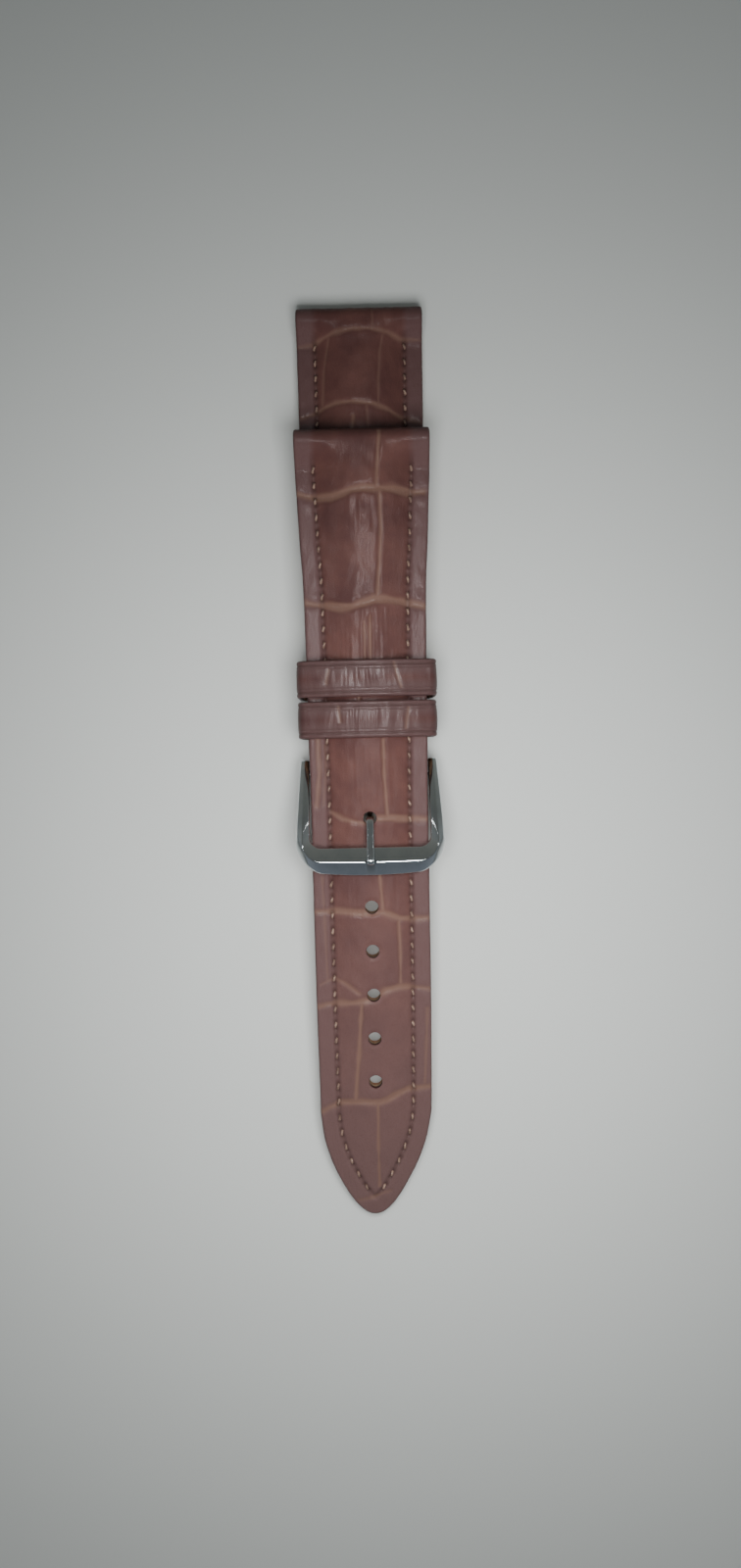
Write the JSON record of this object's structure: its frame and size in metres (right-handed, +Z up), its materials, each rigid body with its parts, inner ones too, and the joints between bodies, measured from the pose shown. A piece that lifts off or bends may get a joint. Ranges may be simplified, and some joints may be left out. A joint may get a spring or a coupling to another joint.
{
  "type": "leather watch strap",
  "caption": "Padded two-piece leather watch strap with embossed scales, two keepers and a pin buckle, lying closed and flat.",
  "frame": {"origin": "on the surface the strap lies on, in the middle of the closed strap", "axes": "+Y towards the lug ends, +X across the strap, +Z up out of the leather's face"},
  "size_m": [0.0232, 0.146, 0.0106],
  "materials": {
    "outer_leather": "brown cowhide with a square-scale emboss, satin",
    "lining_leather": "smooth light brown lining leather, matt",
    "padding": "dense felt padding",
    "stiffener": "woven stiffener",
    "thread": "waxed beige thread",
    "buckle_steel": "polished stainless steel with brushed slopes",
    "spring_bar_steel": "turned stainless steel"
  },
  "bodies": {
    "short_strap": {"short_strap_upper": "outer_leather", "short_strap_filler": "padding", "short_strap_reinforcement": "stiffener", "short_strap_lining": "lining_leather", "short_strap_thread": "thread", "fixed_keeper_band": "outer_leather", "fixed_keeper_lining": "lining_leather", "fixed_keeper_thread": "thread", "spring_bar_barrel": "spring_bar_steel", "spring_bar_spring": "spring_bar_steel"},
    "long_strap": {"long_strap_upper": "outer_leather", "long_strap_filler": "padding", "long_strap_reinforcement": "stiffener", "long_strap_lining": "lining_leather", "long_strap_thread": "thread"},
    "floating_keeper": {"floating_keeper_band": "outer_leather", "floating_keeper_lining": "lining_leather", "floating_keeper_thread": "thread"},
    "buckle": {"buckle_frame": "buckle_steel"},
    "tongue": {"buckle_tongue": "buckle_steel"},
    "left_tip": {"spring_bar_tip_left": "spring_bar_steel"},
    "right_tip": {"spring_bar_tip_right": "spring_bar_steel"}
  },
  "joints": [
    {"name": "buckle_fold", "type": "hinge", "parent": "short_strap", "child": "buckle", "pos_m": [0, -0.002, 0.00294], "axis": [-1, 0, 0], "range_deg": [0, 75], "deforming": ["long_strap_upper", "long_strap_filler", "long_strap_reinforcement", "long_strap_lining"]},
    {"name": "tongue_lift", "type": "hinge", "parent": "buckle", "child": "tongue", "pos_m": [0, -0.002, 0.00294], "axis": [-1, 0, 0], "range_deg": [0, 6]},
    {"name": "long_strap_slide", "type": "hinge", "parent": "short_strap", "child": "long_strap", "pos_m": [0, 0.0223, -0.77848], "axis": [-1, 0, 0], "range_deg": [0, 3.07]},
    {"name": "floating_keeper_slide", "type": "slide", "parent": "short_strap", "child": "floating_keeper", "axis": [0, 1, 0], "range_m": [0, 0.01]},
    {"name": "left_tip_press", "type": "slide", "parent": "short_strap", "child": "left_tip", "axis": [1, 0, 0], "range_m": [0, 0.0008], "stiffness_N_per_m": 500, "springref_m": -0.001, "deforming": ["spring_bar_spring"]},
    {"name": "right_tip_press", "type": "slide", "parent": "short_strap", "child": "right_tip", "axis": [-1, 0, 0], "range_m": [0, 0.0008], "stiffness_N_per_m": 500, "springref_m": -0.001, "deforming": ["spring_bar_spring"]}
  ]
}
